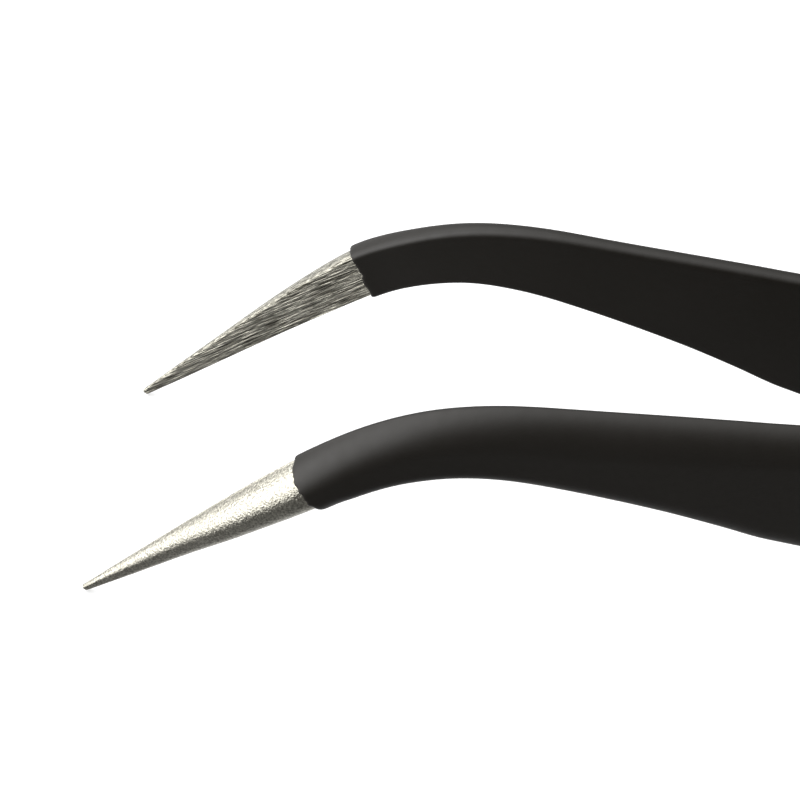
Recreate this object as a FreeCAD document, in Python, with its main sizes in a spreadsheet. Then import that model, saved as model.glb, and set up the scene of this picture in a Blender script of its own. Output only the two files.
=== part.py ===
import FreeCAD, Part
import math
import os
import Sketcher
from FreeCAD import Placement, Rotation, Vector

# Curved-tip precision tweezers, lying as they rest on a bench: on both tips and the tail.
# X runs from the tips (-X) to the tail (+X), Z is up, and the arms close across Y = 0.
# The sketches measure X from the tips; every block then moves back by half the length, so the
# origin is in the middle of the bottom of the whole object.

# Driving dimensions, in millimetres unless the name says degrees.
DIMENSIONS = {
    "overall_length": 120.0,
    "coat_thickness": 0.2,
    # Side view of an arm: corners of its outline, each with a rounding radius.
    "tip_height": 0.34,
    "tip_round": 0.14,
    "tip_corner_cut": 0.052,
    "top_bend_along": 19.5,
    "top_bend_height": 21.85,
    "top_bend_radius": 21.0,
    "top_shoulder_along": 46.0,
    "top_shoulder_radius": 50.0,
    "under_bend_along": 21.27,
    "under_bend_height": 17.88,
    "under_bend_radius": 16.3,
    "belly_along": 32.6,
    "belly_height": 16.29,
    "belly_radius": 48.0,
    "under_shoulder_along": 45.8,
    "under_shoulder_height": 12.2,
    "under_shoulder_radius": 40.0,
    "tail_top_height": 4.41,
    "tail_foot_inset": 0.713,
    "tail_foot_drop": 0.14,
    "tail_top_reach": 0.187,
    "tail_radius": 2.3,
    # Plan view of an arm: half the gap between the arms and the arm's thickness.
    "plan_overrun": 1.0,
    "plan_end_round": 0.05,
    "half_gap_at_tip": 8.34,
    "beak_end_along": 14.5,
    "beak_end_radius": 40.0,
    "neck_along": 29.2,
    "half_gap_at_neck": 6.62,
    "neck_radius": 120.0,
    "bow_along": 66.0,
    "half_gap_at_bow": 3.78,
    "bow_radius": 700.0,
    "weld_line_along": 106.0,
    "weld_line_radius": 60.0,
    "tip_thickness": 0.3,
    "beak_thickness": 2.05,
    "neck_thickness": 1.68,
    "bow_thickness": 1.3,
    "tang_thickness": 1.05,
    # Where the arm is divided into blade, spring leaf and tang.
    "leaf_start_along": 94.0,
    "leaf_end_along": 102.0,
    # Bare tip and spot welds.
    "bare_tip_length": 21.6,
    "beak_angle_degrees": 44.2,
    "weld_radius": 1.3,
    "weld_depth": 0.5,
    "first_weld_along": 112.0,
    "second_weld_along": 116.0,
    "first_weld_height": 3.85,
    "second_weld_height": 3.05,
    # Rounding of the outer long edges, at the needle tip and along the arm.
    "needle_edge_round": 0.07,
    "arm_edge_round": 0.8,
    # Reach of the blocks that are only cut against, past every side of the object.
    "reach": 30.0,
}

doc = FreeCAD.newDocument("curved_tweezers")


def make_sheet():
    """The spreadsheet with one named cell for each driving dimension."""
    sheet = doc.addObject("Spreadsheet::Sheet", "Dims")
    for row, (name, value) in enumerate(DIMENSIONS.items(), start=1):
        sheet.set("A%d" % row, name)
        sheet.set("B%d" % row, str(value))
        sheet.setAlias("B%d" % row, name)
    doc.recompute()
    return sheet


def number(owner, expression):
    """The present value of an expression in the sheet's names."""
    value = owner.evalExpression(expression)
    return float(getattr(value, "Value", value))


def rounded_corner(before, corner, after, radius):
    """The circle arc that rounds one corner of an outline, and its two tangent points."""
    back = (before - corner).normalize()
    ahead = (after - corner).normalize()
    half_angle = back.getAngle(ahead) / 2
    run = radius / math.tan(half_angle)
    centre = corner + (back + ahead).normalize() * (radius / math.sin(half_angle))
    return corner + back * run, centre, corner + ahead * run


def outline_sketch(name, corners):
    """A closed outline of straight runs and tangent arcs.

    Each corner is three expressions: along, across, and the radius that rounds it.
    """
    sketch = doc.addObject("Sketcher::SketchObject", name)
    points = [Vector(number(sketch, a), number(sketch, b), 0) for a, b, _ in corners]
    radii = [number(sketch, r) for _, _, r in corners]
    count = len(corners)
    rounds = [
        rounded_corner(points[i - 1], points[i], points[(i + 1) % count], radii[i])
        for i in range(count)
    ]
    arcs = []
    entries = []
    for (first, centre, last), radius in zip(rounds, radii):
        turns_left = (first - centre).cross(last - centre).z > 0
        begin, finish = (first, last) if turns_left else (last, first)
        start = math.atan2(begin.y - centre.y, begin.x - centre.x)
        end = math.atan2(finish.y - centre.y, finish.x - centre.x)
        circle = Part.Circle(centre, Vector(0, 0, 1), radius)
        if end < start:
            end += 2 * math.pi
        arcs.append(sketch.addGeometry(Part.ArcOfCircle(circle, start, end)))
        entries.append((1, 2) if turns_left else (2, 1))
    runs = []
    for i in range(count):
        leave = rounds[i][2]
        reach = rounds[(i + 1) % count][0]
        if (reach - leave).dot(points[(i + 1) % count] - points[i]) <= 0:
            raise ValueError("%s: the roundings either side of run %d overlap" % (name, i))
        runs.append(sketch.addGeometry(Part.LineSegment(leave, reach)))
    for i in range(count):
        following = (i + 1) % count
        join_in = ("Tangent", runs[i], 2, arcs[following], entries[following][0])
        join_out = ("Tangent", arcs[i], entries[i][1], runs[i], 1)
        sketch.addConstraint(Sketcher.Constraint(*join_out))
        sketch.addConstraint(Sketcher.Constraint(*join_in))
    for i, (along, across, radius) in enumerate(corners):
        mark = sketch.addGeometry(Part.Point(points[i]), True)
        sketch.addConstraint(Sketcher.Constraint("PointOnObject", mark, 1, runs[i - 1]))
        sketch.addConstraint(Sketcher.Constraint("PointOnObject", mark, 1, runs[i]))
        driven = [
            (Sketcher.Constraint("DistanceX", mark, 1, points[i].x), along),
            (Sketcher.Constraint("DistanceY", mark, 1, points[i].y), across),
            (Sketcher.Constraint("Radius", arcs[i], radii[i]), radius),
        ]
        for constraint, expression in driven:
            index = sketch.addConstraint(constraint)
            sketch.setExpression("Constraints[%d]" % index, expression)
    return sketch


def side_outline():
    """Side view of an arm: needle beak, bend, widening arm, shoulder and rounded tail."""
    top = "Dims.top_bend_height"
    tail_round = "Dims.tail_radius"
    corners = [
        ("Dims.tip_height - Dims.tip_corner_cut", "-Dims.tip_corner_cut", "Dims.tip_round"),
        ("Dims.under_bend_along", "Dims.under_bend_height", "Dims.under_bend_radius"),
        ("Dims.belly_along", "Dims.belly_height", "Dims.belly_radius"),
        (
            "Dims.under_shoulder_along",
            "Dims.under_shoulder_height",
            "Dims.under_shoulder_radius",
        ),
        ("Dims.overall_length - Dims.tail_foot_inset", "-Dims.tail_foot_drop", tail_round),
        ("Dims.overall_length + Dims.tail_top_reach", "Dims.tail_top_height", tail_round),
        ("Dims.top_shoulder_along", top, "Dims.top_shoulder_radius"),
        ("Dims.top_bend_along", top, "Dims.top_bend_radius"),
        ("-Dims.tip_corner_cut", "Dims.tip_height - Dims.tip_corner_cut", "Dims.tip_round"),
    ]
    return outline_sketch("side_outline", corners)


def plan_outline():
    """Plan of the near arm: straight needle beak, bowed arm, and a tang on the centre plane."""
    neck = "-Dims.half_gap_at_neck"
    bow = "-Dims.half_gap_at_bow"
    corners = [
        ("-Dims.plan_overrun", "-Dims.half_gap_at_tip", "Dims.plan_end_round"),
        ("-Dims.plan_overrun", "-Dims.half_gap_at_tip - Dims.tip_thickness", "Dims.plan_end_round"),
        (
            "Dims.beak_end_along",
            "-Dims.half_gap_at_tip - Dims.beak_thickness",
            "Dims.beak_end_radius",
        ),
        ("Dims.neck_along", neck + " - Dims.neck_thickness", "Dims.neck_radius"),
        ("Dims.bow_along", bow + " - Dims.bow_thickness", "Dims.bow_radius"),
        ("Dims.weld_line_along", "-Dims.tang_thickness", "Dims.weld_line_radius"),
        (
            "Dims.overall_length + Dims.plan_overrun",
            "-Dims.tang_thickness",
            "Dims.plan_end_round",
        ),
        ("Dims.overall_length + Dims.plan_overrun", "0 mm", "Dims.plan_end_round"),
        ("Dims.weld_line_along", "0 mm", "Dims.weld_line_radius"),
        ("Dims.bow_along", bow, "Dims.bow_radius"),
        ("Dims.neck_along", neck, "Dims.neck_radius"),
        ("Dims.beak_end_along", "-Dims.half_gap_at_tip", "Dims.beak_end_radius"),
    ]
    return outline_sketch("plan_outline", corners)


def grown(name, sketch):
    """The outline of the coated piece: the steel's outline moved out by the coating."""
    outline = doc.addObject("Part::Offset2D", name)
    outline.Source = sketch
    outline.Join = 0
    outline.setExpression("Value", "Dims.coat_thickness")
    return outline


def swept(name, outline, direction):
    """The block swept by an outline both ways along a direction, past the whole object."""
    solid = doc.addObject("Part::Extrusion", name)
    solid.Base = outline
    solid.DirMode = "Custom"
    solid.Dir = direction
    solid.Solid = True
    solid.setExpression("LengthFwd", "Dims.reach")
    solid.setExpression("LengthRev", "Dims.reach")
    return solid


def boolean(kind, name, first, second):
    """The common part, the difference or the union of two solids."""
    result = doc.addObject("Part::" + kind, name)
    result.Base = first
    result.Tool = second
    return result


def mirrored(name, source):
    """The far arm's piece: the near arm's one across the plane where the arms meet."""
    twin = doc.addObject("Part::Mirroring", name)
    twin.Source = source
    twin.Normal = Vector(0, 1, 0)
    return twin


def zone(name, start, end):
    """A slab of the whole object between two distances from the tips."""
    slab = doc.addObject("Part::Box", name)
    slab.setExpression("Length", "%s - (%s)" % (end, start))
    slab.setExpression("Width", "2 * Dims.reach")
    slab.setExpression("Height", "2 * Dims.reach")
    slab.setExpression("Placement.Base.x", start + " - Dims.overall_length / 2")
    slab.setExpression("Placement.Base.y", "-Dims.reach")
    slab.setExpression("Placement.Base.z", "-Dims.reach")
    return slab


def coated_zone():
    """Everything behind the front edge of the coating, square to the beak."""
    slab = doc.addObject("Part::Box", "coated_zone")
    slab.setExpression("Length", "Dims.overall_length")
    slab.setExpression("Width", "2 * Dims.reach")
    slab.setExpression("Height", "2 * Dims.overall_length")
    angle = number(slab, "Dims.beak_angle_degrees")
    slab.Placement = Placement(Vector(), Rotation(Vector(0, 1, 0), -angle))
    out = "Dims.bare_tip_length * %s(Dims.beak_angle_degrees * 1 deg)"
    side = "Dims.overall_length * %s(Dims.beak_angle_degrees * 1 deg)"
    slab.setExpression(
        "Placement.Base.x",
        "-Dims.overall_length / 2 + " + out % "cos" + " + " + side % "sin",
    )
    slab.setExpression("Placement.Base.y", "-Dims.reach")
    slab.setExpression("Placement.Base.z", out % "sin" + " - " + side % "cos")
    return slab


def outer_edges(shape):
    """The long edges between an arm's outer face and its upper and lower faces.

    Each is given as its number, its two end points and its length. The edges on the cut
    across the beak are left out.
    """
    angle = math.radians(sheet.beak_angle_degrees)
    beak_way = Vector(math.cos(angle), 0, math.sin(angle))
    found = []
    for index, edge in enumerate(shape.Edges, start=1):
        middle = edge.valueAt((edge.FirstParameter + edge.LastParameter) / 2)
        normals = []
        for face in shape.ancestorsOfType(edge, Part.Face):
            normals.append(face.normalAt(*face.Surface.parameter(middle)))
        outwards = [n for n in normals if n.y < -0.9]
        edgewise = [n for n in normals if abs(n.y) < 0.1 and abs(n.dot(beak_way)) < 0.995]
        if len(outwards) == 1 and len(edgewise) == 1:
            ends = (edge.valueAt(edge.FirstParameter), edge.valueAt(edge.LastParameter))
            found.append((index, ends, edge.Length))
    return found


def rounded(name, solid, radius_at, shortest=0.0):
    """The solid with the long edges of its outer face rounded."""
    fillet = doc.addObject("Part::Fillet", name)
    fillet.Base = solid
    fillet.Edges = [
        (index, radius_at(ends[0]), radius_at(ends[1]))
        for index, ends, length in outer_edges(solid.Shape)
        if length > shortest
    ]
    doc.recompute()
    return fillet


def steel_arm():
    """The whole near arm in steel: a half-round needle beak joined to the rounded arm."""
    raw = boolean("Common", "raw_arm", side_block, plan_block)
    behind = boolean("Common", "raw_behind_beak", raw, coated_part)
    beak = boolean("Cut", "raw_beak", raw, coated_part)
    doc.recompute()

    def beak_radius(point):
        from_tip = point - to_middle
        share = min(1.0, math.hypot(from_tip.x, from_tip.z) / sheet.bare_tip_length)
        growth = sheet.arm_edge_round - sheet.needle_edge_round
        return sheet.needle_edge_round + growth * share

    arm = rounded("steel_arm", behind, lambda point: sheet.arm_edge_round)
    needle = rounded("needle_beak", beak, beak_radius, sheet.bare_tip_length / 2)
    return arm, needle


def coating_outside():
    """The outer form of the coated near arm, filled solid."""
    side_outer = swept("coated_side_block", grown("coated_side_outline", side), across)
    plan_outer = swept("coated_plan_block", grown("coated_plan_outline", plan), up)
    whole = boolean("Common", "raw_coated_arm", side_outer, plan_outer)
    behind = boolean("Common", "raw_coating", whole, coated_part)
    doc.recompute()
    radius = sheet.arm_edge_round + sheet.coat_thickness
    return rounded("coated_arm", behind, lambda point: radius)


def spot_welds():
    """The two weld nuggets, half in each tang."""
    nuggets = []
    for which in ("first", "second"):
        nugget = doc.addObject("Part::Cylinder", which + "_nugget")
        nugget.setExpression("Radius", "Dims.weld_radius")
        nugget.setExpression("Height", "2 * Dims.weld_depth")
        nugget.Placement = Placement(Vector(), Rotation(Vector(1, 0, 0), 90))
        along = "Dims.%s_weld_along - Dims.overall_length / 2" % which
        nugget.setExpression("Placement.Base.x", along)
        nugget.setExpression("Placement.Base.y", "Dims.weld_depth")
        nugget.setExpression("Placement.Base.z", "Dims.%s_weld_height" % which)
        nuggets.append(nugget)
    welds = doc.addObject("Part::Compound", "weld_spots")
    welds.Links = nuggets
    return welds


def near_steel(arm, needle, welds):
    """The near arm's three lengths: blade with its needle beak, spring leaf and tang."""
    shank = boolean("Common", "blade_shank", arm, blade_zone)
    blade = boolean("Fuse", "near_blade", needle, shank)
    leaf = boolean("Common", "near_leaf", arm, leaf_zone)
    end = boolean("Common", "whole_tang", arm, tail_zone)
    tang = boolean("Cut", "near_tang", end, welds)
    return [blade, leaf, tang]


def near_coats(skin_outside, arm):
    """The coating of the near blade and of the near leaf."""
    skin = boolean("Cut", "near_skin", skin_outside, arm)
    blade_coat = boolean("Common", "near_blade_coat", skin, blade_zone)
    leaf_coat = boolean("Common", "near_leaf_coat", skin, leaf_zone)
    return [blade_coat, leaf_coat]


def tail_coating(skin_outside, arm):
    """The coating round both tangs, which also fills the root of the fork between them."""
    both = boolean("Fuse", "coated_pair", skin_outside, mirrored("far_coated_arm", skin_outside))
    steel_pair = boolean("Fuse", "steel_pair", arm, mirrored("far_steel_arm", arm))
    skin = boolean("Cut", "pair_skin", both, steel_pair)
    return boolean("Common", "tail_coat", skin, tail_zone)


across = Vector(0, 1, 0)
up = Vector(0, 0, 1)

sheet = make_sheet()
to_middle = Vector(-sheet.overall_length / 2, 0, 0)
side = side_outline()
side.Placement = Placement(to_middle, Rotation(Vector(1, 0, 0), 90))
plan = plan_outline()
plan.Placement = Placement(to_middle, Rotation())
side_block = swept("side_block", side, across)
plan_block = swept("plan_block", plan, up)
coated_part = coated_zone()
blade_zone = zone("blade_zone", "0", "Dims.leaf_start_along")
leaf_zone = zone("leaf_zone", "Dims.leaf_start_along", "Dims.leaf_end_along")
tail_zone = zone("tail_zone", "Dims.leaf_end_along", "Dims.overall_length + 1")

near_arm, near_needle = steel_arm()
coat_outside = coating_outside()
weld_spots = spot_welds()
near_parts = near_steel(near_arm, near_needle, weld_spots) + near_coats(coat_outside, near_arm)
far_parts = [mirrored(part.Name.replace("near", "far"), part) for part in near_parts]
sub_parts = near_parts + far_parts + [weld_spots, tail_coating(coat_outside, near_arm)]
doc.recompute()

for item in doc.Objects:
    if "Invalid" in item.State or "Error" in item.State:
        raise RuntimeError("failed to compute: " + item.Name)
for part in sub_parts:
    if part.Shape.isNull() or not part.Shape.isValid():
        raise RuntimeError("not a valid solid: " + part.Name)

os.makedirs("parts", exist_ok=True)
for part in sub_parts:
    part.Label = part.Name
    part.Shape.exportStep("parts/%s.step" % part.Label)
    print("%-18s %8.2f mm3  %d solid" % (part.Label, part.Shape.Volume, len(part.Shape.Solids)))
whole = Part.makeCompound([part.Shape for part in sub_parts])
print(whole.BoundBox)
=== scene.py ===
"""Curved-tip precision tweezers: two sprung steel arms joined at the tail, black coated, with
bare steel needle points. They rest on both points and the tail, with the points at -X."""
import math

import bmesh
import bpy
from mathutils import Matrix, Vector, noise


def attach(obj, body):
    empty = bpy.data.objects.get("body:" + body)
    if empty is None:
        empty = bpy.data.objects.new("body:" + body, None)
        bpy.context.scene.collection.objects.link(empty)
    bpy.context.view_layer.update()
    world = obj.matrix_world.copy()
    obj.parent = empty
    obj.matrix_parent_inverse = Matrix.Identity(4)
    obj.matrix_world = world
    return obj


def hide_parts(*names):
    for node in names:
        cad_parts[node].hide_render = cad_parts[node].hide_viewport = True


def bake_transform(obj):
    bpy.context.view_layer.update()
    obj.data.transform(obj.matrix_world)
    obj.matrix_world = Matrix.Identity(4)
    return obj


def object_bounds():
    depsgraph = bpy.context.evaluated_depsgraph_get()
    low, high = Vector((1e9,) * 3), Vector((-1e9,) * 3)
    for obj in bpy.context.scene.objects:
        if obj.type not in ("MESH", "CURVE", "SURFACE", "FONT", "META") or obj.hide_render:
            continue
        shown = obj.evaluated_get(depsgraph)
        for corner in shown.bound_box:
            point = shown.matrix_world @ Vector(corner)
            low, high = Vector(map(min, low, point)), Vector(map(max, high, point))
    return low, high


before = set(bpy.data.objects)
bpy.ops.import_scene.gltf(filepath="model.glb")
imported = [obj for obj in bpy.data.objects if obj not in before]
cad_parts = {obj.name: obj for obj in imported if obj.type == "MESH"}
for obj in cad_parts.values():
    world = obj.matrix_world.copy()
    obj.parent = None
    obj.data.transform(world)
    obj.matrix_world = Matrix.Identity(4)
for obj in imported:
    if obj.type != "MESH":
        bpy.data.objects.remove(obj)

CAD_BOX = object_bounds()
MM = 0.001

# The arm is described along its middle line, in millimetres from the needle point.
COAT_START = 21.6
COAT_THICKNESS = 0.2
# Where the evenly spaced sections stop, and where the coated tail ends.
EVEN_END = 125
TAIL_END = 128.75
# How far in from the box's corner the middle line starts.
POINT_REACH = 0.17
TAIL_FALL_DEGREES = 11.4


def curve_through(*points):
    """A smooth curve through chosen (distance, value) points that never overshoots them."""
    steps = [(b[1] - a[1]) / (b[0] - a[0]) for a, b in zip(points, points[1:])]
    slopes = [steps[0]]
    for before, after in zip(steps, steps[1:]):
        same_way = before * after > 0
        slopes.append(2 * before * after / (before + after) if same_way else 0.0)
    slopes.append(steps[-1])

    def value(distance):
        distance = min(max(distance, points[0][0]), points[-1][0])
        i = 0
        while i < len(steps) - 1 and distance > points[i + 1][0]:
            i += 1
        run = points[i + 1][0] - points[i][0]
        t = (distance - points[i][0]) / run
        return (
            points[i][1] * (1 + 2 * t) * (1 - t) ** 2
            + points[i + 1][1] * t * t * (3 - 2 * t)
            + slopes[i] * run * t * (1 - t) ** 2
            - slopes[i + 1] * run * t * t * (1 - t)
        )

    return value


# Which way the middle line runs, in degrees above the level: up the beak, over the bend, down.
heading = curve_through(
    (0, 44), (7, 44.4), (14, 43.6), (20, 41.6), (24, 34), (28, 22.5), (32, 6.5), (37, -5.3),
    (43, -7.3), (49, -10.3), (56, -TAIL_FALL_DEGREES), (130, -TAIL_FALL_DEGREES),
)
# Half the steel's height in the side view.
half_height = curve_through(
    (0, 0.22), (5, 0.62), (21, 1.66), (26, 1.85), (32, 2.28), (38, 2.82), (44, 3.57), (48, 4.2),
    (51, 4.68), (56, 4.84), (65, 4.76), (127, 2.2),
)
# From the middle plane to the steel's flat inner face.
half_gap = curve_through(
    (0, 8.34), (10, 8.34), (21, 8.19), (27, 7.58), (33, 6.97), (40, 6.4), (48, 5.78), (56, 5.1),
    (70, 4.0), (95, 2.05), (105, 0.92), (110, 0.42), (116, 0.01), (130, 0.01),
)
steel_thickness = curve_through(
    (0, 0.3), (5, 0.72), (10, 1.16), (15, 1.75), (21, 2.12), (28, 1.8), (36, 1.6), (46, 1.5),
    (56, 1.4), (95, 1.2), (110, 1.05), (130, 1.05),
)
# The outer long edges' roundings: how far they reach down the face, and what share they take of
# the thickness. The beak is rounded right across, so its section is a D.
upper_reach = curve_through((0, 2.1), (36, 2.5), (45, 2.4), (60, 1.8), (110, 1.0), (130, 1.0))
upper_share = curve_through((0, 1), (22, 1), (30, 0.95), (40, 0.9), (60, 0.85), (130, 0.7))
lower_reach = curve_through(
    (0, 2), (21, 2), (24, 1.3), (30, 1.0), (45, 1.35), (60, 1.5), (110, 1.0), (130, 1.0)
)
lower_share = curve_through((0, 1), (21, 1), (24, 0.75), (30, 0.5), (40, 0.4), (130, 0.5))
INNER_EDGE_ROUND = 0.12
LEAST_HALF_HEIGHT = 0.02
LEAST_HALF_GAP = 0.01
STEP_ALONG = 0.25


def middle_line():
    """Points of the arm's middle line every quarter of a millimetre, as (x, z)."""
    x = CAD_BOX[0].x / MM + POINT_REACH
    z = CAD_BOX[0].z / MM + POINT_REACH
    line = [(x, z)]
    for i in range(math.ceil(TAIL_END / STEP_ALONG) + 4):
        turn = math.radians(heading((i + 0.5) * STEP_ALONG))
        x += STEP_ALONG * math.cos(turn)
        z += STEP_ALONG * math.sin(turn)
        line.append((x, z))
    return line


MIDDLE = middle_line()


def middle_at(distance):
    """The middle line's point at a distance from the needle point, as (x, z)."""
    place = max(distance, 0) / STEP_ALONG
    i = min(int(place), len(MIDDLE) - 2)
    share = place - i
    (x0, z0), (x1, z1) = MIDDLE[i], MIDDLE[i + 1]
    return x0 + (x1 - x0) * share, z0 + (z1 - z0) * share


# Points round one section: inner face, small corner, edge, large rounding, outer face, and back.
INNER_POINTS = 20
CORNER_POINTS = 4
EDGE_POINTS = 3
ROUND_POINTS = 16
OUTER_POINTS = 8


def quarter(centre, radii, start, count):
    """Points of a quarter ellipse, turning clockwise from a start angle in degrees."""
    turns = [math.radians(start - 90 * i / count) for i in range(count)]
    return [(centre[0] + radii[0] * math.cos(a), centre[1] + radii[1] * math.sin(a)) for a in turns]


def straight(start, end, count):
    """Points of a straight run, without its last point."""
    return [
        (start[0] + (end[0] - start[0]) * i / count, start[1] + (end[1] - start[1]) * i / count)
        for i in range(count)
    ]


def section(half, thick, upper, lower, inner):
    """One closed section as (outwards, up) points, from the foot of its flat inner face.

    upper and lower are the outer roundings as (outwards, up) radii."""
    top_out, top = min(upper[0], thick - inner), min(upper[1], half - inner)
    under_out, under = min(lower[0], thick - inner), min(lower[1], half - inner)
    points = straight((0, -half + inner), (0, half - inner), INNER_POINTS)
    points += quarter((inner, half - inner), (inner, inner), 180, CORNER_POINTS)
    points += straight((inner, half), (thick - top_out, half), EDGE_POINTS)
    points += quarter((thick - top_out, half - top), (top_out, top), 90, ROUND_POINTS)
    points += straight((thick, half - top), (thick, -half + under), OUTER_POINTS)
    points += quarter((thick - under_out, -half + under), (under_out, under), 0, ROUND_POINTS)
    points += straight((thick - under_out, -half), (inner, -half), EDGE_POINTS)
    points += quarter((inner, -half + inner), (inner, inner), 270, CORNER_POINTS)
    return points


def rounded_tail(half, from_end, least):
    """Half the height near the tail, whose end is a half circle in the side view."""
    if from_end >= half:
        return half
    return math.sqrt(max(half * half - (half - from_end) ** 2, least ** 2))


def arm_section(distance, skin):
    """The arm's section there with a skin of the given thickness on the steel."""
    from_end = TAIL_END - COAT_THICKNESS + skin - distance
    half = rounded_tail(half_height(distance) + skin, from_end, LEAST_HALF_HEIGHT)
    thick = steel_thickness(distance) + 2 * skin
    inner = min(INNER_EDGE_ROUND + max(skin, 0), 0.45 * half, 0.45 * thick)
    upper = (upper_share(distance) * thick, upper_reach(distance) + skin)
    lower = (lower_share(distance) * thick, lower_reach(distance) + skin)
    return section(half, thick, upper, lower, inner)


def arm_point(side, distance, outwards, up, skin):
    """A section's point on the arm, in metres. side is -1 for the near arm, 1 for the far."""
    x, z = middle_at(distance)
    turn = math.radians(heading(distance))
    from_middle = max(half_gap(distance) - skin, LEAST_HALF_GAP) + outwards
    return Vector(
        (x - up * math.sin(turn), side * from_middle, z + up * math.cos(turn))
    ) * MM


def arm_ring(side, distance, skin):
    """The arm's section there as points on the arm."""
    return [arm_point(side, distance, v, u, skin) for v, u in arm_section(distance, skin)]


def loft(name, rings, *materials):
    """A closed piece made by extruding a ring of edges from one section to the next."""
    bm = bmesh.new()
    place = bm.verts.layers.int.new("place")
    bmesh.ops.create_circle(bm, segments=len(rings[0]), radius=MM)
    for i, vert in enumerate(bm.verts):
        vert[place] = i
        vert.co = rings[0][i]
    edges = list(bm.edges)
    bmesh.ops.contextual_create(bm, geom=edges)
    for ring in rings[1:]:
        grown = bmesh.ops.extrude_edge_only(bm, edges=edges)["geom"]
        edges = [item for item in grown if isinstance(item, bmesh.types.BMEdge)]
        edges = [e for e in edges if all(v in grown for v in e.verts)]
        for vert in grown:
            if isinstance(vert, bmesh.types.BMVert):
                vert.co = ring[vert[place]]
    bmesh.ops.contextual_create(bm, geom=edges)
    bmesh.ops.recalc_face_normals(bm, faces=bm.faces)
    for face in bm.faces:
        face.smooth = True
    mesh = bpy.data.meshes.new(name)
    bm.to_mesh(mesh)
    bm.free()
    for material in materials:
        mesh.materials.append(material)
    piece = bpy.data.objects.new(name, mesh)
    bpy.context.scene.collection.objects.link(piece)
    return piece


def spaced(start, end, step):
    """Even distances from start to end, about a step apart."""
    count = max(1, round((end - start) / step))
    return [start + (end - start) * i / count for i in range(count + 1)]


# How far back the rounding of the needle point reaches.
POINT_ROUND = 0.24
SMALLEST_RING = 0.05


def point_ring(side, distance):
    """A ring of the rounded needle point, drawn in towards its end."""
    share = math.sqrt(1 - (1 - min(distance / POINT_ROUND, 1)) ** 2)
    share = max(share, SMALLEST_RING)
    ring = arm_ring(side, distance, 0.0)
    middle = sum(ring, Vector()) / len(ring)
    return [middle + (co - middle) * share for co in ring]


def tail_stations():
    """Distances round the round end of the tail, closer together towards the end."""
    reach = half_height(TAIL_END) + COAT_THICKNESS
    return [TAIL_END - reach * (1 - math.sin(math.radians(a))) for a in range(0, 90, 6)]


def steel_arm(side, name, *materials):
    """One whole arm in steel, from its needle point to its tail."""
    stations = [POINT_ROUND * share for share in (0.0, 0.05, 0.2, 0.45, 0.75, 1.0)]
    stations += spaced(0.4, COAT_START + 2, 0.35)
    stations += spaced(COAT_START + 3, EVEN_END, 1.5)
    stations += [d - COAT_THICKNESS for d in tail_stations()]
    return loft(name, [point_ring(side, d) for d in stations], *materials)


# The coating's front edge: distance behind the edge and skin thickness there.
LIP = (
    (0.30, -0.15), (0.02, -0.04), (0.0, 0.03), (0.02, 0.09), (0.06, 0.135), (0.12, 0.17),
    (0.2, 0.19), (0.32, 0.2), (0.5, 0.2), (0.75, 0.2), (1.0, 0.2), (1.4, 0.2), (1.8, 0.2),
)
# How far behind the edge its raggedness dies out, and how much the edge strays along the steel.
RAGGED_REACH = 1.8
BROAD_STRAY, BROAD_PER_MM = 0.18, 0.9
FINE_STRAY, FINE_PER_MM = 0.18, 2.6
LEAN_UP, LEAN_OUT = 0.36, -0.4


def ragged_edge(side, outwards, up):
    """How far the coating's front edge strays along the steel at a point round the section.

    The far arm's edge isn't square to the beak: it leans back at the top."""
    seed = 3.0 if side < 0 else 11.0
    lean = LEAN_UP * up + LEAN_OUT * outwards if side > 0 else 0.0
    broad = noise.noise(Vector((outwards * BROAD_PER_MM, up * BROAD_PER_MM, seed)))
    fine = noise.noise(Vector((outwards * FINE_PER_MM, up * FINE_PER_MM, seed + 5)))
    return lean + BROAD_STRAY * broad + FINE_STRAY * fine


def coat_arm(side, name, material):
    """The coating of one arm as a closed form, with a ragged, rounded front lip."""
    rings = []
    for behind, skin in LIP:
        base = COAT_START + behind
        ring = []
        for outwards, up in arm_section(base, skin):
            stray = ragged_edge(side, outwards, up) * (1 - behind / RAGGED_REACH)
            ring.append(arm_point(side, base + stray, outwards, up, skin))
        rings.append(ring)
    stations = spaced(COAT_START + 2.2, 60, 0.5) + spaced(61, EVEN_END, 1.0)
    stations += tail_stations()
    rings += [arm_ring(side, d, COAT_THICKNESS) for d in stations]
    return loft(name, rings, material)


# The web starts at the root of the fork, and stays below the coating on either side of the seam.
WEB_START = 112.2
WEB_INSET = 0.16
WEB_HALF_WIDTH = 0.35
WEB_EDGE_ROUND = 0.1
WEB_CORNER_ROUND = 0.03
WEB_LEAST_HALF_HEIGHT = 0.04


def tail_web(material):
    """The coating that fills the root of the fork and the seam between the two tangs."""
    rings = []
    stations = spaced(WEB_START, EVEN_END, 0.8)
    stations += [d - WEB_INSET for d in tail_stations()]
    edge = (WEB_EDGE_ROUND, WEB_EDGE_ROUND)
    for distance in stations:
        half = half_height(distance) + COAT_THICKNESS
        half = rounded_tail(half, TAIL_END - distance, WEB_LEAST_HALF_HEIGHT)
        half = max(half - WEB_INSET, WEB_CORNER_ROUND)
        ring = section(half, 2 * WEB_HALF_WIDTH, edge, edge, WEB_CORNER_ROUND)
        x, z = middle_at(distance)
        turn = math.radians(heading(distance))
        rings.append([
            Vector((x - up * math.sin(turn), out - WEB_HALF_WIDTH, z + up * math.cos(turn))) * MM
            for out, up in ring
        ])
    return loft("tail_web", rings, material)


# ---------------------------------------------------------------- materials


def linear(code):
    """An sRGB hex colour as linear RGBA."""
    parts = [int(code[i:i + 2], 16) / 255 for i in (1, 3, 5)]
    return [c / 12.92 if c <= 0.04045 else ((c + 0.055) / 1.055) ** 2.4 for c in parts] + [1]


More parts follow.
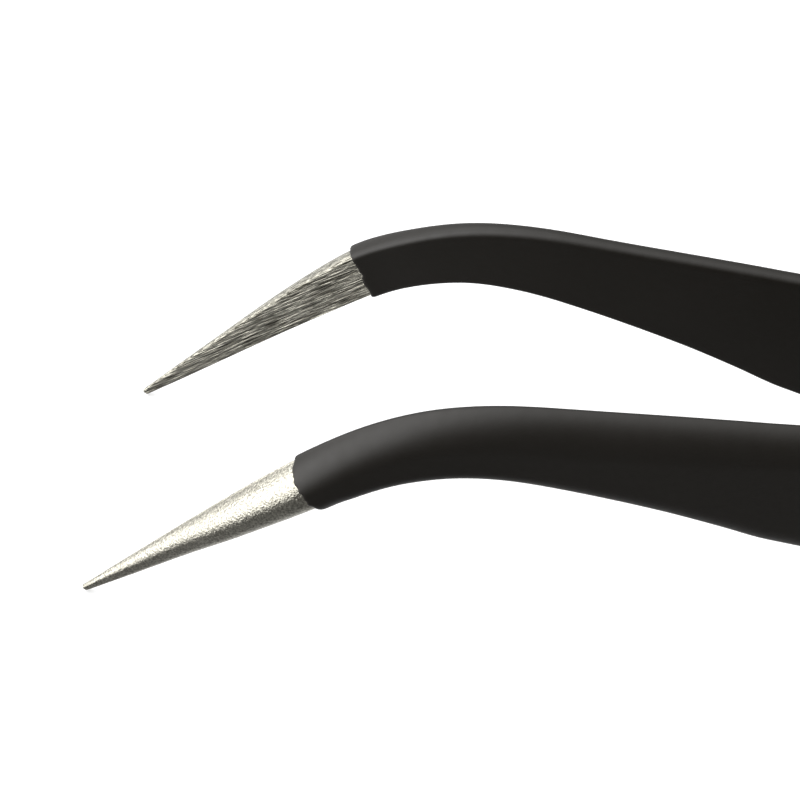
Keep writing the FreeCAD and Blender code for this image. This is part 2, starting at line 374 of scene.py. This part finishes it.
def add(tree, kind, inputs=None, **settings):
    """Add a node, set it up, and give its inputs values or links."""
    made = tree.nodes.new(kind)
    for name, value in settings.items():
        setattr(made, name, value)
    for name, value in (inputs or {}).items():
        socket = made.inputs[name]
        if isinstance(value, bpy.types.NodeSocket):
            tree.links.new(value, socket)
        else:
            socket.default_value = value
    return made


def new_material(name):
    """A material, its node tree, its surface shader and the place on the piece."""
    material = bpy.data.materials.new(name)
    material.use_nodes = True
    tree = material.node_tree
    surface = tree.nodes["Principled BSDF"]
    where = add(tree, "ShaderNodeTexCoord").outputs["Object"]
    return material, tree, surface, where


def blend_colours(tree, share, first, second):
    """A colour between two hex colours."""
    mix = add(tree, "ShaderNodeMix", data_type="RGBA")
    tree.links.new(share, mix.inputs[0])
    mix.inputs[6].default_value = linear(first)
    mix.inputs[7].default_value = linear(second)
    return mix.outputs[2]


def per_mm(size):
    """A noise scale whose grains are about this many millimetres across."""
    return 1 / (size * MM)


def matt_epoxy_coating():
    """Black epoxy powder coating: matt, faintly pebbled, a soft sheen on turned edges."""
    material, tree, surface, where = new_material("matt_epoxy_coating")
    grain = add(tree, "ShaderNodeTexNoise", {"Vector": where, "Scale": per_mm(0.13), "Detail": 2.0})
    pebble = add(tree, "ShaderNodeTexNoise", {"Vector": where, "Scale": per_mm(0.7), "Detail": 1.0})
    dust = add(tree, "ShaderNodeTexNoise", {"Vector": where, "Scale": per_mm(5.0), "Detail": 3.0})
    colour = blend_colours(tree, dust.outputs["Fac"], "#0f0b03", "#140f08")
    tree.links.new(colour, surface.inputs["Base Color"])
    rough = add(
        tree, "ShaderNodeMapRange",
        {"Value": pebble.outputs["Fac"], "To Min": 0.44, "To Max": 0.56},
    )
    tree.links.new(rough.outputs["Result"], surface.inputs["Roughness"])
    surface.inputs["Specular IOR Level"].default_value = 0.46
    soft = add(
        tree, "ShaderNodeBump",
        {"Height": pebble.outputs["Fac"], "Distance": 0.02 * MM, "Strength": 0.5},
    )
    fine = add(
        tree, "ShaderNodeBump",
        {
            "Height": grain.outputs["Fac"], "Distance": 0.006 * MM, "Strength": 0.6,
            "Normal": soft.outputs["Normal"],
        },
    )
    tree.links.new(fine.outputs["Normal"], surface.inputs["Normal"])
    return material


def blasted_steel():
    """Stainless steel, bead blasted: bright satin with a fine even grain.

    Blasting leaves dents of a few hundredths of a millimetre. They are drawn coarser, to show."""
    material, tree, surface, where = new_material("blasted_steel")
    grain = add(tree, "ShaderNodeTexNoise", {"Vector": where, "Scale": per_mm(0.13), "Detail": 1.0})
    patch = add(tree, "ShaderNodeTexNoise", {"Vector": where, "Scale": per_mm(1.5), "Detail": 2.0})
    speckle = add(
        tree, "ShaderNodeMapRange",
        {"Value": grain.outputs["Fac"], "From Min": 0.34, "From Max": 0.66},
    )
    colour = blend_colours(tree, speckle.outputs["Result"], "#918e84", "#d0cdc0")
    tree.links.new(colour, surface.inputs["Base Color"])
    rough = add(
        tree, "ShaderNodeMapRange",
        {"Value": patch.outputs["Fac"], "To Min": 0.29, "To Max": 0.37},
    )
    tree.links.new(rough.outputs["Result"], surface.inputs["Roughness"])
    surface.inputs["Metallic"].default_value = 1.0
    dents = add(
        tree, "ShaderNodeBump",
        {"Height": grain.outputs["Fac"], "Distance": 0.045 * MM, "Strength": 1.0},
    )
    tree.links.new(dents.outputs["Normal"], surface.inputs["Normal"])
    return material


# Scratches on the inner faces: width and length in millimetres, and detail.
SCRATCHES = ((0.07, 2.5, 3.0), (0.13, 3.0, 2.0))
SCRATCH_TURN_DEGREES = 38
SCRATCH_DEPTH = 0.09


def ground_steel():
    """Stainless steel ground by hand along the beak: coarse, nearly parallel scratches.

    Grinding leaves scratches of a few hundredths of a millimetre. They are drawn coarser, to show."""
    material, tree, surface, where = new_material("ground_steel")
    turned = add(
        tree, "ShaderNodeMapping",
        {"Vector": where, "Rotation": (0, math.radians(SCRATCH_TURN_DEGREES), 0)},
    )
    lines = []
    for across, along, detail in SCRATCHES:
        stretched = add(
            tree, "ShaderNodeMapping",
            {
                "Vector": turned.outputs["Vector"],
                "Scale": (per_mm(along), per_mm(across), per_mm(across)),
            },
        )
        lines.append(add(
            tree, "ShaderNodeTexNoise",
            {"Vector": stretched.outputs["Vector"], "Scale": 1.0, "Detail": detail},
        ))
    contrast = add(
        tree, "ShaderNodeMapRange",
        {"Value": lines[0].outputs["Fac"], "From Min": 0.38, "From Max": 0.62},
    )
    colour = blend_colours(tree, contrast.outputs["Result"], "#46433a", "#d9d6c8")
    tree.links.new(colour, surface.inputs["Base Color"])
    surface.inputs["Metallic"].default_value = 1.0
    surface.inputs["Roughness"].default_value = 0.28
    coarse = add(
        tree, "ShaderNodeBump",
        {"Height": lines[1].outputs["Fac"], "Distance": SCRATCH_DEPTH * MM, "Strength": 1.0},
    )
    fine = add(
        tree, "ShaderNodeBump",
        {
            "Height": lines[0].outputs["Fac"], "Distance": SCRATCH_DEPTH * MM, "Strength": 1.0,
            "Normal": coarse.outputs["Normal"],
        },
    )
    tree.links.new(fine.outputs["Normal"], surface.inputs["Normal"])
    return material


def weld_metal():
    """Resistance weld nugget: the arms' steel melted and set, dull and slightly blued."""
    material, tree, surface, where = new_material("weld_metal")
    scale = add(tree, "ShaderNodeTexNoise", {"Vector": where, "Scale": per_mm(0.3), "Detail": 3.0})
    colour = blend_colours(tree, scale.outputs["Fac"], "#6f7079", "#938f88")
    tree.links.new(colour, surface.inputs["Base Color"])
    surface.inputs["Metallic"].default_value = 1.0
    surface.inputs["Roughness"].default_value = 0.5
    return material


# ---------------------------------------------------------------- the object

COATING = matt_epoxy_coating()
BLASTED = blasted_steel()
GROUND = ground_steel()

# Side of the middle plane, arm, and how far round the edges its ground finish wraps.
ARMS = ((-1, "near", -0.5), (1, "far", 0.3))


def finish_inner_face(piece, side, wrap):
    """Give the flat inner face its ground finish, out to where its edges have turned that far."""
    for face in piece.data.polygons:
        if face.normal.y * side < wrap:
            face.material_index = 1


for side, arm, wrap in ARMS:
    steel = steel_arm(side, arm + "_steel", BLASTED, GROUND)
    finish_inner_face(steel, side, wrap)
    coat = coat_arm(side, arm + "_coating", COATING)
    for piece in (steel, coat):
        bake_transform(piece)
    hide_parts(arm + "_blade", arm + "_leaf", arm + "_tang")
    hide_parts(arm + "_blade_coat", arm + "_leaf_coat")

web = tail_web(COATING)
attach(web, "tail")
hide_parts("tail_coat")

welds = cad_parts["weld_spots"]
for slot in welds.material_slots:
    slot.material = weld_metal()

# ---------------------------------------------------------------- floor, light and camera


FLOOR_REACH = 1.5
FLOOR_SHADE = (0.8, 0.8, 0.8, 1)
FLOOR_GLOW = 0.3


def studio_floor():
    """A plain white sheet, faintly lit from below. Gloss doesn't mirror it."""
    bm = bmesh.new()
    bmesh.ops.create_grid(bm, x_segments=1, y_segments=1, size=FLOOR_REACH)
    mesh = bpy.data.meshes.new("floor")
    bm.to_mesh(mesh)
    bm.free()
    floor = bpy.data.objects.new("floor", mesh)
    floor.location.z = CAD_BOX[0].z
    material, _, surface, _ = new_material("pale_paper")
    surface.inputs["Base Color"].default_value = FLOOR_SHADE
    surface.inputs["Roughness"].default_value = 1.0
    surface.inputs["Specular IOR Level"].default_value = 0.0
    surface.inputs["Emission Color"].default_value = (1, 1, 1, 1)
    surface.inputs["Emission Strength"].default_value = FLOOR_GLOW
    mesh.materials.append(material)
    floor.visible_glossy = False
    bpy.context.scene.collection.objects.link(floor)


SOFT_LIGHT_FROM = Vector((-0.75, 0.25, 0.6)).normalized()
SOFT_LIGHT_FALL = 1.5
SOFT_LIGHT = 3.3
STRIP_LIGHT_FROM = Vector((-0.93, -0.33, 0.1)).normalized()
STRIP_LIGHT = 1.6
BACKDROP_SHADE = -0.72
LIT_FLOOR = 1.2
ROOM_GLOW = 0.16


def sums(tree, operation, first, second, third=0.0):
    """The result of a sum on two or three numbers or sockets."""
    inputs = {0: first, 1: second, 2: third}
    return add(tree, "ShaderNodeMath", inputs, operation=operation).outputs[0]


def ramp(tree, value, start, end):
    """0 at the start and 1 at the end, held beyond them."""
    inputs = {"Value": value, "From Min": start, "From Max": end}
    return add(tree, "ShaderNodeMapRange", inputs).outputs["Result"]


def studio_sky():
    """A very large soft light over the points, a small one level with them at the left, a grey
    backdrop behind and a lit floor beyond."""
    world = bpy.data.worlds.new("studio")
    world.use_nodes = True
    bpy.context.scene.world = world
    tree = world.node_tree
    where = add(tree, "ShaderNodeTexCoord").outputs["Generated"]
    parts = add(tree, "ShaderNodeSeparateXYZ", {"Vector": where}).outputs
    above, beside = [
        add(tree, "ShaderNodeVectorMath", {0: where, 1: source}, operation="DOT_PRODUCT")
        .outputs["Value"] for source in (SOFT_LIGHT_FROM, STRIP_LIGHT_FROM)
    ]
    soft = sums(tree, "POWER", sums(tree, "MAXIMUM", above, 0.0), SOFT_LIGHT_FALL)
    strip = ramp(tree, beside, 0.8, 0.92)
    behind = ramp(tree, parts["Y"], -0.05, 0.35)
    low = ramp(tree, parts["Z"], 0.5, 0.15)
    backdrop = sums(tree, "MULTIPLY", behind, low)
    shade = sums(tree, "MULTIPLY_ADD", backdrop, BACKDROP_SHADE, 1.0)
    main = sums(tree, "MULTIPLY", sums(tree, "MULTIPLY", soft, SOFT_LIGHT), shade)
    beyond = ramp(tree, parts["Y"], -0.3, 0.5)
    below = ramp(tree, parts["Z"], -0.2, -0.7)
    floor_light = sums(tree, "MULTIPLY", beyond, below)
    glow = sums(tree, "MULTIPLY_ADD", floor_light, LIT_FLOOR, ROOM_GLOW)
    total = sums(tree, "ADD", sums(tree, "MULTIPLY_ADD", strip, STRIP_LIGHT, main), glow)
    tree.links.new(total, tree.nodes["Background"].inputs["Strength"])
    tree.nodes["Background"].inputs["Color"].default_value = (1, 1, 1, 1)


CAMERA_AIM = Vector((-40.32, 0.0, 13.14)) * MM
CAMERA_TURN_DEGREES = 9.58
CAMERA_RISE_DEGREES = 50
CAMERA_DISTANCE = 150
CAMERA_LENS = 108
CAMERA_SENSOR = 36


def studio_camera():
    """A long lens over the points, looking down on them from the near side."""
    turn, rise = math.radians(CAMERA_TURN_DEGREES), math.radians(CAMERA_RISE_DEGREES)
    back = Vector((
        math.sin(turn) * math.cos(rise), -math.cos(turn) * math.cos(rise), math.sin(rise)
    ))
    data = bpy.data.cameras.new("camera")
    data.lens = CAMERA_LENS
    data.sensor_width = CAMERA_SENSOR
    data.clip_start = 0.005
    camera = bpy.data.objects.new("camera", data)
    camera.location = CAMERA_AIM + back * CAMERA_DISTANCE * MM
    camera.rotation_euler = back.to_track_quat("Z", "Y").to_euler()
    bpy.context.scene.collection.objects.link(camera)
    bpy.context.scene.camera = camera


studio_floor()
studio_sky()
studio_camera()
bpy.context.scene.view_settings.view_transform = "Standard"
